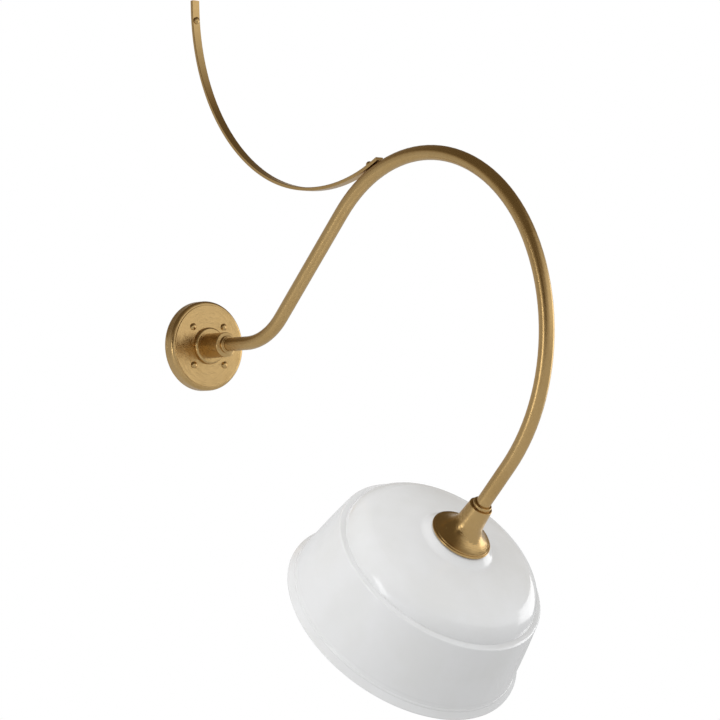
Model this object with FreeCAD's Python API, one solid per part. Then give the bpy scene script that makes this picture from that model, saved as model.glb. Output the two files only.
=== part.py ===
import FreeCAD, Part

import math
import os

# Gooseneck wall sconce: a turned wall plate, a bent tube arm held up by a flat bar
# stay, and a spun metal shade that hangs at 45 degrees and faces back to the wall.
#
# The wall is the plane y = 0 and the lamp stands out from it towards -y. z is up.
# The origin is the centre of the wall plate's back face. "Depth" is the distance
# from the wall. "Height" in the lamp head is measured along the shade's own axis,
# from the plane of the shade's rim. All sizes are in millimetres and degrees.

# ---- Fits ------------------------------------------------------------------------
slip = 0.1          # radial gap of pieces that slide together by hand
screw_clearance = 0.25  # radial gap round a screw that passes through a hole
thread_fit = 0.05   # radial gap of a thread, drawn as a plain cylinder
turning_gap = 0.3   # gap round a piece that moves
fine_gap = 0.01     # keeps a flat face just clear of a curved one
seat = 0.2          # gap under a moving piece that rests on a flat seat
edge_round = 0.5    # usual rounding of a turned edge
fine_round = 0.15

# ---- Wall plate ------------------------------------------------------------------
plate_r = 63.5
plate_depth = 18.0
plate_wall = 2.5
plate_rim_wall = 3.0
plate_face_step = 1.0        # height of the raised face over the ledge round it
plate_face_r = 58.0
plate_shoulder_round = 5.0
plate_groove_depth = 4.2     # where the fine groove runs round the rim
plate_groove_width = 0.8
plate_groove_cut = 0.3
face_screw_circle = 76.2
face_screw_angle = 45.0
face_screw_count = 4
face_screw_r = 2.0
face_screw_head_r = 4.8
face_screw_head_height = 3.6
face_screw_end_gap = 1.0     # from the screw's end to the bottom of its thread
face_screw_recess = 0.4
face_screw_recess_gap = 0.7
plate_ledge_width = 0.2      # how far the step leans out at its foot
plate_cavity_round = 4.0
gasket_thickness = 2.7
gasket_inner_r = 57.5
gasket_outer_r = 62.2

# ---- Mounting bracket and wiring space -------------------------------------------
bracket_r = 55.0
bracket_thickness = 2.5
bracket_centre_hole_r = 16.0
box_screw_spacing = 88.9
box_screw_hole_r = 2.4
post_r = 4.5
post_rivet_r = 3.0
post_thread_length = 11.0
wire_r = 1.1
wire_spread = 1.3            # half the distance between the two wires in the tube
wire_run_depth = 8.2         # depth of the wires behind the plate
wire_elbow_r = 10.0
connector_length = 20.0
connector_mouth_r = 5.2
connector_end_r = 3.2
connector_end_round = 2.0
connector_skirt = 3.0
connector_wall = 1.2
connector_start = 20.5       # distance of a connector's mouth from the centre
connector_hold = 9.5         # length of wire inside a connector
ground_x = 18.0
ground_z = -24.0
ground_screw_r = 1.9
ground_head_r = 3.5
ground_head_height = 2.0
lug_r = 4.0
lug_thickness = 0.8
lug_barrel_r = 1.8
lug_barrel_length = 5.0
lug_overlap = 0.3            # how far the barrel reaches into the ring
ground_lead_in = 0.5         # straight wire past the barrel
ground_lead_out = 2.0        # straight wire before the connector
ground_elbow_r = 6.0
ground_elbow_angle = 30.0
ground_slope_length = 3.6

# ---- Hub -------------------------------------------------------------------------
base_ring_r = 26.0
base_ring_height = 5.5
base_ring_foot_round = 1.2
base_ring_round = 3.2
hub_r = 17.5
hub_length = 34.6            # from the base ring's seat to the nose
hub_nose_height = 1.4
spigot_wall = 1.375          # wall of the spigot round the tube's socket
spigot_bore_r = 8.0
tube_seat_depth = 20.0       # depth of the shoulder that the tube stands on
collar_width = 2.975         # how far the collar stands out from the tube
collar_height = 4.4
collar_lip_width = 1.475
collar_lip_height = 2.0
collar_foot_round = 1.2
collar_round = 1.3
collar_lip_round = 0.7
locknut_flats = 30.0
locknut_height = 4.0
lockwasher_r = 16.0
lockwasher_height = 1.0
set_screw_r = 2.5
set_screw_depth = 45.0
set_screw_socket = 2.5
set_screw_socket_depth = 3.0

# ---- Arm -------------------------------------------------------------------------
tube_r = 9.525
tube_wall = 1.5
first_bend_depth = 105.0
first_bend_r = 107.0
rise_angle = 45.0
rise_length = 185.0
loop_r = 214.0
loop_angle = 109.0
nose_r = 241.0
nose_angle = 71.0
tail_length = 84.0

# ---- Stay bar --------------------------------------------------------------------
strap_width = 12.7
strap_thickness = 4.76
strap_ease = 0.8
strap_corner_r = 1.5
strap_tab_length = 12.0
strap_upper_r = 288.0
strap_upper_angle = 57.0
strap_lower_r = 259.0
strap_overrun = 16.0         # length of bar past the point where it meets the arm
wall_screw_drop = 29.0       # from the bar's top end down to its wall screw
wall_screw_neck_r = 2.3
wall_screw_r = 2.1
wall_screw_head_r = 5.0
wall_screw_head_height = 3.2
wall_screw_free_length = 4.5
wall_screw_point = 0.6
wall_screw_tip_r = 1.5
arm_screw_setback = 5.0      # from the meeting point back to the arm screw
arm_screw_r = 2.0
arm_screw_head_r = 4.4
arm_screw_head_height = 4.7
arm_washer_r = 4.9
arm_washer_height = 0.8
insert_r = 3.0
insert_length = 4.7
arm_screw_reach = 0.3        # how far the arm screw stands through its insert
screw_slot_width = 0.8
screw_slot_cut = 1.0

# ---- Shade -----------------------------------------------------------------------
shade_wall = 0.9
rim_r = 164.0
rim_height = 1.4
hem_top_r = 158.7
hem_top = 8.4
bead_rise = 3.2
bead_in = 1.3
fold_rise = 6.0
skirt_bow = 0.6
skirt_top_r = 142.5
skirt_top = 100.3
ledge_rise = 4.5
ledge_slope = 8.0
shoulder_round = 2.4
dome_side_r = 32.5           # radius of the rounded side of the dome
dome_side_centre_r = 101.5
crown_r = 361.0
crown_end_r = 58.0
boss_rise = 9.1
boss_flat_r = 39.0
boss_foot_width = 9.0
boss_foot_round = 12.0
boss_top_round = 4.0

# ---- Bell ------------------------------------------------------------------------
bell_hover = 1.5             # gap between the shade's boss and the bell's lip
bell_wall = 2.0
bell_lip_r = 40.2
bell_lip_height = 3.1
bell_flare_edge_r = 38.3
bell_flare_rise = 4.6
bell_flare_round = 27.0
bell_corner_r = 19.0
bell_corner_height = 10.2
bell_top_r = 15.3
bell_height = 53.0
bell_web_height = 31.0       # underside of the web that the nipple passes through
bell_web = 6.0
neck_ring_r = 12.4
neck_ring_height = 5.0

# ---- Lampholder ------------------------------------------------------------------
nipple_r = 4.85
nipple_bore_r = 3.5
nipple_reach_up = 11.0       # length inside the tube's end bush
nipple_reach_down = 16.0     # length below the bell's web plane
nipple_nut_flats = 16.0
nipple_nut_height = 4.0
bush_length = 12.0
holder_r = 19.0
holder_length = 31.5         # threaded length below the flange
holder_flange_r = 26.0
holder_flange_height = 2.5
holder_top_r = 17.1
holder_top_height = 11.8
holder_floor_height = 4.0
holder_bore_r = 14.0
cap_wall = 1.8
cap_side_height = 13.7
cap_top_r = 9.0
cap_neck_height = 5.5
shell_wall = 0.5
shell_length = 28.0
contact_r = 4.0
contact_rivet_r = 1.5
contact_thickness = 0.7
terminal_x = 11.0
terminal_width = 8.0
terminal_height = 9.0
terminal_thickness = 1.2
terminal_screw_r = 1.6
terminal_head_r = 2.6
terminal_head_height = 1.6
terminal_screw_length = 3.2
wire_fan_height = 15.6       # where the wires part, above the holder's floor
wire_fan_r = 8.0
wire_fan_angle = 41.0
wire_fan_length = 4.6

# ---- Shade ring ------------------------------------------------------------------
ring_r = 30.0
ring_flange_height = 2.0
ring_sleeve_r = 23.0
ring_height = 6.0
ring_rib_r = 1.5
ring_rib_count = 12
ring_fit = 0.08

# ---- Lamp ------------------------------------------------------------------------
cap_shell_r = 13.1           # radius of the lamp's screw cap
lamp_cap_length = 24.6
lamp_cap_wall = 0.4
lamp_cap_cone = 3.1
lamp_tip_r = 4.6
lamp_tip_height = 2.2
lamp_length = 108.0
lamp_r = 30.0
lamp_neck_r = 12.6
lamp_neck_insert = 2.0
lamp_shoulder_angle = 35.0
lamp_shoulder_round = 60.0
lamp_glass = 1.0

X = FreeCAD.Vector(1, 0, 0)
Y = FreeCAD.Vector(0, 1, 0)
Z = FreeCAD.Vector(0, 0, 1)
ORIGIN = FreeCAD.Vector(0, 0, 0)
FULL_TURN = 360


# ---- Drawing helpers -------------------------------------------------------------
def at(radius, height):
    """A point of a turned outline: its radius and its height on the axis."""
    return FreeCAD.Vector(radius, 0, height)


def outline(corners, closed=True):
    """Straight edges through the corners. A third number rounds its corner."""
    count = len(corners)
    points = [at(corner[0], corner[1]) for corner in corners]
    starts = list(points)
    ends = list(points)
    arcs = [None] * count
    for i, corner in enumerate(corners):
        radius = corner[2] if len(corner) > 2 else 0
        if radius:
            back = (points[i - 1] - points[i]).normalize()
            onward = (points[(i + 1) % count] - points[i]).normalize()
            half = back.getAngle(onward) / 2
            middle = (back + onward).normalize()
            reach = radius / math.tan(half)
            ends[i] = points[i] + back * reach
            starts[i] = points[i] + onward * reach
            crest = points[i] + middle * (radius / math.sin(half) - radius)
            arcs[i] = Part.Arc(ends[i], crest, starts[i]).toShape()
    edges = []
    for i in range(count):
        if arcs[i]:
            edges.append(arcs[i])
        if closed or i < count - 1:
            edges.append(Part.makeLine(starts[i], ends[(i + 1) % count]))
    return edges


def turned(corners):
    """A solid of revolution about z from a closed outline."""
    face = Part.Face(Part.Wire(outline(corners)))
    return face.revolve(ORIGIN, Z, FULL_TURN)


def spun(edges, wall):
    """A sheet of even thickness, turned about z from one open outline."""
    face = Part.Wire(edges).makeOffset2D(wall, 2, True, True)
    return face.revolve(ORIGIN, Z, FULL_TURN)


def ring(outer_r, inner_r, low, high, round_low=0, round_high=0):
    """A turned ring with rounded outer edges."""
    return turned([(inner_r, low), (outer_r, low, round_low),
                   (outer_r, high, round_high), (inner_r, high)])


def rod(radius, low, high):
    """A round bar along z between two heights."""
    return Part.makeCylinder(radius, high - low, at(0, low), Z)


def hexagon(flats, low, high):
    """A six sided bar along z between two heights."""
    corner_r = flats / math.sqrt(3)
    sides = 6
    turns = [2 * math.pi * i / sides for i in range(sides + 1)]
    points = [FreeCAD.Vector(corner_r * math.cos(t), corner_r * math.sin(t), low) for t in turns]
    return Part.Face(Part.makePolygon(points)).extrude(Z * (high - low))


def domed_head(radius, height, low):
    """A round screw head: a low cylinder with a domed top."""
    side = height * 0.3
    crest_r = (radius ** 2 + (height - side) ** 2) / (2 * (height - side))
    top = low + height
    angle = math.asin(radius / crest_r) / 2
    middle = at(crest_r * math.sin(angle), top - crest_r + crest_r * math.cos(angle))
    edges = [Part.makeLine(at(0, low), at(radius, low)),
             Part.makeLine(at(radius, low), at(radius, low + side)),
             Part.Arc(at(radius, low + side), middle, at(0, top)).toShape(),
             Part.makeLine(at(0, top), at(0, low))]
    return Part.Face(Part.Wire(edges)).revolve(ORIGIN, Z, FULL_TURN)


def slotted(head, radius, top):
    """A screw head with one straight slot across its top."""
    slot = Part.makeBox(2 * radius, screw_slot_width, screw_slot_cut,
                        FreeCAD.Vector(-radius, -screw_slot_width / 2, top - screw_slot_cut))
    return head.cut(slot)


def stand(shape, origin, axis):
    """Moves a shape drawn on z so that its z axis lies along another axis."""
    placed = shape.copy()
    move = FreeCAD.Placement(origin, FreeCAD.Rotation(Z, axis))
    placed.Placement = move.multiply(placed.Placement)
    return placed


def off_wall(shape):
    """Places a shape drawn with its height as depth in front of the wall."""
    return stand(shape, ORIGIN, -Y)


def on_circle(shape, count, first_angle, axis):
    """Copies of a shape, evenly spaced about an axis through the origin."""
    copies = []
    for i in range(count):
        copy = shape.copy()
        copy.rotate(ORIGIN, axis, first_angle + FULL_TURN * i / count)
        copies.append(copy)
    return copies


def save(name, shapes):
    """Writes one piece, or a group of equal pieces, to its own file."""
    solids = []
    for shape in shapes:
        solids += shape.Solids
    result = solids[0] if len(solids) == 1 else Part.makeCompound(solids)
    result.exportStep("parts/" + name + ".step")
    print(name, len(solids), round(result.Volume / 1000, 2), "cm3", result.isValid())


# ---- Runs of bent bar, tube and wire ---------------------------------------------
def straight(length):
    return ("straight", length)


def bend(radius, angle, axis):
    return ("bend", radius, angle, axis)


def after(place, heading, move):
    """Where a run is, and where it heads, after one straight or one bend."""
    if move[0] == "straight":
        return place + heading * move[1], heading
    radius, angle, axis = move[1:]
    turn = FreeCAD.Rotation(axis, angle)
    centre = place + axis.cross(heading) * radius
    return centre + turn.multVec(place - centre), turn.multVec(heading)


def follow(place, heading, moves):
    """The end of a run of straights and bends."""
    for move in moves:
        place, heading = after(place, heading, move)
    return place, heading


def swept(section, place, heading, moves):
    """Carries a flat section along straights and bends and joins the pieces."""
    pieces = []
    section = section.copy()
    for move in moves:
        if move[0] == "straight":
            pieces.append(section.extrude(heading * move[1]))
            section.translate(heading * move[1])
        else:
            radius, angle, axis = move[1:]
            centre = place + axis.cross(heading) * radius
            pieces.append(section.revolve(centre, axis, angle))
            section.rotate(centre, axis, angle)
        place, heading = after(place, heading, move)
    joined = pieces[0]
    if len(pieces) > 1:
        joined = pieces[0].multiFuse(pieces[1:]).removeSplitter()
    return joined


def run_length(moves):
    """The length of a run's middle line."""
    total = 0
    for move in moves:
        total += move[1] if move[0] == "straight" else move[1] * math.radians(move[2])
    return total


def disc(radius, place, heading):
    """A round flat face, square to a heading."""
    return Part.Face(Part.Wire(Part.makeCircle(radius, place, heading)))


def wire(name, place, heading, moves):
    """A round insulated wire along its run. Prints its bends and its volume ratio."""
    body = swept(disc(wire_r, place, heading), place, heading, moves)
    expected = math.pi * wire_r ** 2 * run_length(moves)
    radii = [move[1] for move in moves if move[0] == "bend"]
    print(name, "bend radii", radii, "volume ratio", round(body.Volume / expected, 4))
    save(name, [body])


# ---- The run of the arm ----------------------------------------------------------
arm_bends = [bend(first_bend_r, rise_angle, -X), straight(rise_length),
             bend(loop_r, loop_angle, X), bend(nose_r, nose_angle, X)]
arm_start = FreeCAD.Vector(0, -tube_seat_depth, 0)
arm_moves = [straight(first_bend_depth - tube_seat_depth)] + arm_bends + [straight(tail_length)]
tube_end, lamp_axis = follow(arm_start, -Y, arm_moves)
rise_end, rise_heading = follow(arm_start, -Y, arm_moves[:3])
loop_centre = rise_end + X.cross(rise_heading) * loop_r

# ---- Sizes of the hub that follow the tube ---------------------------------------
spigot_r = tube_r + slip + spigot_wall
collar_r = tube_r + collar_width
collar_lip_r = tube_r + collar_lip_width

# ---- Heights in the lamp head, from the plane of the shade's rim -----------------
ledge_in_r = dome_side_centre_r + dome_side_r
dome_centre_height = skirt_top + ledge_rise - dome_side_r * math.sin(math.radians(ledge_slope))
crown_centre = dome_centre_height - math.sqrt((crown_r - dome_side_r) ** 2 - dome_side_centre_r ** 2)
crown_end_height = crown_centre + math.sqrt(crown_r ** 2 - crown_end_r ** 2)
shade_top = crown_end_height + boss_rise
bell_lip = shade_top + bell_hover
bell_web_low = bell_lip + bell_web_height
bell_web_high = bell_web_low + bell_web
bell_top = bell_lip + bell_height
flange_low = shade_top + seat
flange_high = flange_low + holder_flange_height
holder_low = flange_low - holder_length
holder_high = flange_high + holder_top_height
floor_high = holder_high - holder_top_height + 1.0
floor_low = floor_high - holder_floor_height
cap_high = bell_web_low - nipple_nut_height
nipple_low = bell_web_high - nipple_reach_down
nipple_high = bell_web_high + nipple_reach_up
ring_high = shade_top - shade_wall - seat
ring_low = ring_high - ring_height
contact_low = floor_low - contact_thickness
lamp_top = contact_low - turning_gap


def on_lamp_axis(shape):
    """Places a shape drawn by its height in the lamp head."""
    rim_centre = tube_end + lamp_axis * bell_web_high
    return stand(shape, rim_centre, -lamp_axis)


# ---- Wall plate group ------------------------------------------------------------
def backplate():
    cavity_r = plate_r - plate_rim_wall
    cavity_depth = plate_depth - plate_wall
    half_groove = plate_groove_width / 2
    step_depth = plate_depth - plate_face_step
    body = turned([
        (0, 0), (plate_r, 0), (plate_r, plate_groove_depth - half_groove),
        (plate_r - plate_groove_cut, plate_groove_depth),
        (plate_r, plate_groove_depth + half_groove),
        (plate_r, step_depth, plate_shoulder_round),
        (plate_face_r + plate_ledge_width, step_depth, fine_round),
        (plate_face_r, plate_depth, edge_round), (0, plate_depth)])
    cavity = turned([(0, 0), (cavity_r, 0), (cavity_r, cavity_depth, plate_cavity_round),
                     (0, cavity_depth)])
    body = body.cut(cavity)
    body = body.cut(rod(gasket_outer_r, 0, gasket_thickness))
    body = body.cut(rod(spigot_r + slip, cavity_depth, plate_depth))
    hole = rod(face_screw_r + screw_clearance, cavity_depth, plate_depth)
    recess = rod(face_screw_head_r + face_screw_recess_gap, plate_depth - face_screw_recess, plate_depth)
    cutter = hole.fuse(recess)
    cutter.translate(at(face_screw_circle / 2, 0))
    for copy in on_circle(cutter, face_screw_count, face_screw_angle, Z):
        body = body.cut(copy)
    save("backplate", [off_wall(body)])


def backplate_gasket():
    save("backplate_gasket", [off_wall(ring(gasket_outer_r - slip, gasket_inner_r, 0, gasket_thickness))])


def mounting_bracket():
    body = ring(bracket_r, bracket_centre_hole_r, 0, bracket_thickness, 0, edge_round)
    rivet_hole = rod(post_rivet_r + thread_fit, 0, bracket_thickness)
    rivet_hole.translate(at(face_screw_circle / 2, 0))
    for copy in on_circle(rivet_hole, face_screw_count, face_screw_angle, Z):
        body = body.cut(copy)
    box_hole = rod(box_screw_hole_r, 0, bracket_thickness)
    box_hole.translate(at(box_screw_spacing / 2, 0))
    for copy in on_circle(box_hole, 2, 90, Z):
        body = body.cut(copy)
    body = off_wall(body)
    ground_hole = Part.makeCylinder(ground_screw_r + thread_fit, bracket_thickness,
                                    FreeCAD.Vector(ground_x, 0, ground_z), -Y)
    save("mounting_bracket", [body.cut(ground_hole)])


def bracket_posts():
    top = plate_depth - plate_wall
    post = rod(post_rivet_r, 0, bracket_thickness).fuse(rod(post_r, bracket_thickness, top))
    post = post.cut(rod(face_screw_r + thread_fit, top - post_thread_length, top))
    post.translate(at(face_screw_circle / 2, 0))
    save("bracket_posts", [off_wall(p) for p in on_circle(post, face_screw_count, face_screw_angle, Z)])


def backplate_screws():
    head_low = plate_depth - face_screw_recess
    shank_low = plate_depth - plate_wall - post_thread_length + face_screw_end_gap
    screw = domed_head(face_screw_head_r, face_screw_head_height, head_low)
    screw = screw.fuse(rod(face_screw_r, shank_low, head_low))
    screw = slotted(screw, face_screw_head_r, head_low + face_screw_head_height)
    screws = []
    for i in range(face_screw_count):
        angle = math.radians(face_screw_angle + FULL_TURN * i / face_screw_count)
        place = FreeCAD.Vector(math.cos(angle), math.sin(angle), 0) * (face_screw_circle / 2)
        screws.append(off_wall(screw.translated(place)))
    save("backplate_screws", screws)


def wire_connector(mouth, direction):
    """A twist-on connector with its mouth at a point and its closed end further on."""
    wire_hole_r = wire_r + slip
    wire_stop = connector_hold + slip
    body = turned([(0, 0), (connector_mouth_r, 0, edge_round),
                   (connector_mouth_r, connector_skirt, edge_round),
                   (connector_end_r, connector_length, connector_end_round), (0, connector_length)])
    body = body.cut(turned([(0, 0), (connector_mouth_r - connector_wall, 0), (wire_hole_r, connector_skirt),
                            (wire_hole_r, wire_stop), (0, wire_stop)]))
    return stand(body, mouth, direction)


def wire_connectors():
    live = wire_connector(FreeCAD.Vector(connector_start, -wire_run_depth, 0), X)
    neutral = wire_connector(FreeCAD.Vector(-connector_start, -wire_run_depth, 0), -X)
    save("wire_connectors", [live, neutral, wire_connector(ground_mouth, -X)])


def ground_screw():
    face = bracket_thickness + lug_thickness
    body = rod(ground_screw_r, seat, face).fuse(domed_head(ground_head_r, ground_head_height, face))
    body = slotted(body, ground_head_r, face + ground_head_height)
    save("ground_screw", [stand(body, FreeCAD.Vector(ground_x, 0, ground_z), -Y)])


def ground_lug():
    washer = ring(lug_r, ground_screw_r + slip, bracket_thickness, bracket_thickness + lug_thickness)
    washer = stand(washer, FreeCAD.Vector(ground_x, 0, ground_z), -Y)
    barrel = Part.makeCylinder(lug_barrel_r, lug_barrel_length, ground_barrel, -X)
    bore = Part.makeCylinder(wire_r + slip, lug_barrel_length, ground_barrel, -X)
    save("ground_lug", [washer.fuse(barrel).cut(bore)])


ground_barrel = FreeCAD.Vector(ground_x - lug_r + lug_overlap, -(bracket_thickness + lug_barrel_r), ground_z)
ground_moves = [straight(lug_barrel_length + ground_lead_in), bend(ground_elbow_r, ground_elbow_angle, Z),
                straight(ground_slope_length), bend(ground_elbow_r, ground_elbow_angle, -Z),
                straight(ground_lead_out)]
ground_mouth, ground_heading = follow(ground_barrel, -X, ground_moves)

connector_inside = connector_start + connector_hold
elbow_x = wire_spread + wire_elbow_r
elbow_depth = wire_run_depth + wire_elbow_r


def lamp_wire(name, side):
    """One lamp wire, from its connector through hub and arm to its terminal."""
    start = FreeCAD.Vector(side * connector_inside, -wire_run_depth, 0)
    tail = tail_length + bell_web_high - (floor_high + wire_fan_height)
    moves = [straight(connector_inside - elbow_x), bend(wire_elbow_r, 90, Z * side),
             straight(first_bend_depth - elbow_depth)] + arm_bends
    fan_axis = lamp_axis.cross(X * side)
    moves += [straight(tail), bend(wire_fan_r, wire_fan_angle, fan_axis), straight(wire_fan_length)]
    wire(name, start, -X * side, moves)


def wiring():
    lamp_wire("live_wire", 1)
    lamp_wire("neutral_wire", -1)
    wire("ground_wire", ground_barrel, -X, ground_moves + [straight(connector_hold)])


# ---- Hub -------------------------------------------------------------------------
def hub():
    ring_high_depth = plate_depth + base_ring_height
    save("hub_base_ring", [off_wall(ring(base_ring_r, spigot_r + slip, plate_depth, ring_high_depth,
                                          base_ring_foot_round, base_ring_round))])

    nose = ring_high_depth + hub_length
    nut_high = plate_depth - plate_wall - lockwasher_height
    nut_low = nut_high - locknut_height
    body = turned([(spigot_bore_r, nut_low), (spigot_r, nut_low, edge_round), (spigot_r, ring_high_depth),
                   (hub_r, ring_high_depth, edge_round), (hub_r, nose, 2 * edge_round),
                   (collar_r, nose + hub_nose_height), (tube_r + slip, nose + hub_nose_height),
                   (tube_r + slip, tube_seat_depth), (spigot_bore_r, tube_seat_depth)])
    screw_axis_hole = Part.makeCylinder(set_screw_r + thread_fit, hub_r,
                                        FreeCAD.Vector(0, -set_screw_depth, 0), -Z)
    save("hub_body", [off_wall(body).cut(screw_axis_hole)])

    collar_low = nose + hub_nose_height
    collar_high = collar_low + collar_height
    collar_top = collar_high + collar_lip_height
    bore = tube_r + slip
    collar = turned([(bore, collar_low), (collar_r, collar_low, collar_foot_round),
                     (collar_r, collar_high, collar_round), (collar_lip_r, collar_high, fine_round),
                     (collar_lip_r, collar_top, collar_lip_round), (bore, collar_top)])
    save("hub_collar", [off_wall(collar)])

    nut = hexagon(locknut_flats, nut_low, nut_high).cut(rod(spigot_r + thread_fit, nut_low, nut_high))
    save("hub_locknut", [off_wall(nut)])
    washer = ring(lockwasher_r, spigot_r + slip, nut_high, nut_high + lockwasher_height)
    save("hub_lockwasher", [off_wall(washer)])

    screw = rod(set_screw_r, tube_r + thread_fit, hub_r - edge_round)
    screw = screw.cut(hexagon(set_screw_socket, hub_r - set_screw_socket_depth, hub_r))
    save("hub_set_screw", [stand(screw, FreeCAD.Vector(0, -set_screw_depth, 0), -Z)])


# ---- Arm -------------------------------------------------------------------------
def arm_tube():
    tube = swept(disc(tube_r, arm_start, -Y).cut(disc(tube_r - tube_wall, arm_start, -Y)),
                 arm_start, -Y, arm_moves)
    hole = Part.makeCylinder(insert_r + slip, tube_r, arm_crest + strap_normal, -strap_normal)
    save("arm_tube", [tube.cut(hole)])


def arm_end_bush():
    bush = ring(tube_r - tube_wall - thread_fit, nipple_r + thread_fit, bell_web_high,
                bell_web_high + bush_length)
    save("arm_end_bush", [on_lamp_axis(bush)])


# ---- Stay bar --------------------------------------------------------------------
# Both bends of the bar turn the same way. Their radii are those of its middle line.
# The lower bend touches the crest of the arm's loop from above.
upper_angle = math.radians(strap_upper_angle)
radius_step = strap_upper_r - strap_lower_r
lower_centre_y = -strap_thickness / 2 - strap_upper_r + radius_step * math.cos(upper_angle)
centre_distance = strap_lower_r + strap_thickness / 2 + thread_fit + tube_r + loop_r
lower_centre_z = loop_centre.z + math.sqrt(centre_distance ** 2 - (lower_centre_y - loop_centre.y) ** 2)
strap_bend_z = lower_centre_z + radius_step * math.sin(upper_angle)
strap_top_z = strap_bend_z + strap_tab_length
lower_centre = FreeCAD.Vector(0, lower_centre_y, lower_centre_z)
meeting_angle = math.degrees((loop_centre - lower_centre).getAngle(
    FreeCAD.Vector(0, math.cos(upper_angle), -math.sin(upper_angle))))
overrun_angle = math.degrees(strap_overrun / strap_lower_r)
strap_start = FreeCAD.Vector(0, -strap_thickness / 2, strap_top_z)
strap_moves = [straight(strap_tab_length), bend(strap_upper_r, strap_upper_angle, -X),
               bend(strap_lower_r, meeting_angle + overrun_angle, -X)]

# The arm screw stands square on the bar. Its normal points away from the arm.
setback_angle = FreeCAD.Rotation(X, math.degrees(arm_screw_setback / strap_lower_r))
strap_normal = setback_angle.multVec(lower_centre - loop_centre).normalize()
arm_screw_base = lower_centre - strap_normal * (strap_lower_r - strap_thickness / 2)
arm_screw_underside = arm_screw_base - strap_normal * strap_thickness
arm_crest = arm_screw_underside - strap_normal * (2 * thread_fit)
washer_lift = arm_washer_r ** 2 / (2 * strap_lower_r - strap_thickness)
arm_screw_seat = arm_screw_base + strap_normal * (washer_lift + fine_gap)
wall_screw_z = strap_top_z - wall_screw_drop
wall_screw_sag = max(0, wall_screw_drop + wall_screw_head_r - strap_tab_length)
wall_screw_seat = strap_thickness + wall_screw_sag ** 2 / (2 * strap_upper_r)


def strap_corner(side):
    """What the rounded corner on one side takes off the bar's top end."""
    centre_x = side * (strap_width / 2 - strap_corner_r)
    low_x = min(centre_x, side * strap_width / 2)
    front = FreeCAD.Vector(low_x, -2 * strap_thickness, strap_top_z - strap_corner_r)
    corner = Part.makeBox(strap_corner_r, 3 * strap_thickness, strap_corner_r, front)
    centre = FreeCAD.Vector(centre_x, -2 * strap_thickness, strap_top_z - strap_corner_r)
    return corner.cut(Part.makeCylinder(strap_corner_r, 3 * strap_thickness, centre, Y))


def strap():
    half = strap_width / 2
    corners = [(-half, 0, strap_ease), (half, 0, strap_ease),
               (half, strap_thickness, strap_ease), (-half, strap_thickness, strap_ease)]
    section = Part.Face(Part.Wire(outline(corners)))
    section.rotate(ORIGIN, X, 90)
    section.translate(Z * strap_top_z)
    body = swept(section, strap_start, -Z, strap_moves)
    wall_hole = Part.makeCylinder(wall_screw_neck_r + screw_clearance, 3 * strap_thickness,
                                  FreeCAD.Vector(0, 0, wall_screw_z), -Y)
    arm_hole = Part.makeCylinder(arm_screw_r + screw_clearance, 3 * strap_thickness,
                                 arm_screw_base + strap_normal * strap_thickness, -strap_normal)
    save("strap", [body.cut(wall_hole).cut(arm_hole).cut(strap_corner(1)).cut(strap_corner(-1))])


def strap_wall_screw():
    head = domed_head(wall_screw_head_r, wall_screw_head_height, wall_screw_seat)
    shank = turned([(0, -wall_screw_free_length), (wall_screw_tip_r, -wall_screw_free_length),
                    (wall_screw_r, wall_screw_point - wall_screw_free_length), (wall_screw_r, 0),
                    (wall_screw_neck_r, 0), (wall_screw_neck_r, wall_screw_seat), (0, wall_screw_seat)])
    screw = slotted(head.fuse(shank), wall_screw_head_r, wall_screw_seat + wall_screw_head_height)
    save("strap_wall_screw", [stand(screw, FreeCAD.Vector(0, 0, wall_screw_z), -Y)])


def strap_arm_screw():
    washer = ring(arm_washer_r, arm_screw_r + slip, 0, arm_washer_height)
    save("strap_arm_washer", [stand(washer, arm_screw_seat, strap_normal)])

    low = -strap_thickness - 2 * thread_fit - insert_length - arm_screw_reach
    head = domed_head(arm_screw_head_r, arm_screw_head_height, arm_washer_height)
    screw = head.fuse(rod(arm_screw_r, low, arm_washer_height))
    screw = slotted(screw, arm_screw_head_r, arm_washer_height + arm_screw_head_height)
    save("strap_arm_screw", [stand(screw, arm_screw_seat, strap_normal)])

    drop = tube_r - math.sqrt(tube_r ** 2 - insert_r ** 2)
    insert = ring(insert_r, arm_screw_r + thread_fit, -drop - insert_length, -drop)
    save("strap_thread_insert", [stand(insert, arm_crest, strap_normal)])


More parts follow.
